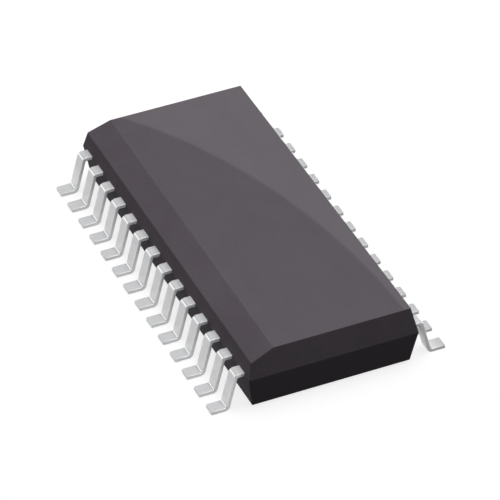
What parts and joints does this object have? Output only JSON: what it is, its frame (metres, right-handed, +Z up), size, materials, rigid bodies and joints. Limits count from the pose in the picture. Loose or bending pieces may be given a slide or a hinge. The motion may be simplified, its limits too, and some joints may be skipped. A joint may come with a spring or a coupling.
{
  "type": "ssop chip",
  "caption": "Shrink small-outline chip for surface mounting: dark drafted moulded body, one long top edge bevelled, a row of gull-wing solder leads down each long side.",
  "frame": {"origin": "centre of the seating plane, level with the soles of the leads and midway between the two rows", "axes": "+Z up from the seating plane, +Y along the body's length towards the end with lead 1, +X across to the row of leads 15 to 28"},
  "size_m": [0.0054, 0.009, 0.0014],
  "materials": {
    "mould_compound": "fine-grained dark grey epoxy moulding compound with a soft satin sheen",
    "tinned_lead": "matte tin plating over copper alloy",
    "copper_alloy": "bare copper alloy strip",
    "silicon": "dark polished silicon",
    "die_glue": "silver-filled epoxy",
    "gold_wire": "bright drawn gold wire"
  },
  "bodies": {
    "root": {"body": "mould_compound", "die_paddle": "copper_alloy", "die_attach": "die_glue", "die": "silicon", "lead_01": "tinned_lead", "lead_02": "tinned_lead", "lead_03": "tinned_lead", "lead_04": "tinned_lead", "lead_05": "tinned_lead", "lead_06": "tinned_lead", "lead_07": "tinned_lead", "lead_08": "tinned_lead", "lead_09": "tinned_lead", "lead_10": "tinned_lead", "lead_11": "tinned_lead", "lead_12": "tinned_lead", "lead_13": "tinned_lead", "lead_14": "tinned_lead", "lead_15": "tinned_lead", "lead_16": "tinned_lead", "lead_17": "tinned_lead", "lead_18": "tinned_lead", "lead_19": "tinned_lead", "lead_20": "tinned_lead", "lead_21": "tinned_lead", "lead_22": "tinned_lead", "lead_23": "tinned_lead", "lead_24": "tinned_lead", "lead_25": "tinned_lead", "lead_26": "tinned_lead", "lead_27": "tinned_lead", "lead_28": "tinned_lead", "bond_wire_01": "gold_wire", "bond_wire_02": "gold_wire", "bond_wire_03": "gold_wire", "bond_wire_04": "gold_wire", "bond_wire_05": "gold_wire", "bond_wire_06": "gold_wire", "bond_wire_07": "gold_wire", "bond_wire_08": "gold_wire", "bond_wire_09": "gold_wire", "bond_wire_10": "gold_wire", "bond_wire_11": "gold_wire", "bond_wire_12": "gold_wire", "bond_wire_13": "gold_wire", "bond_wire_14": "gold_wire", "bond_wire_15": "gold_wire", "bond_wire_16": "gold_wire", "bond_wire_17": "gold_wire", "bond_wire_18": "gold_wire", "bond_wire_19": "gold_wire", "bond_wire_20": "gold_wire", "bond_wire_21": "gold_wire", "bond_wire_22": "gold_wire", "bond_wire_23": "gold_wire", "bond_wire_24": "gold_wire", "bond_wire_25": "gold_wire", "bond_wire_26": "gold_wire", "bond_wire_27": "gold_wire", "bond_wire_28": "gold_wire"}
  },
  "joints": []
}
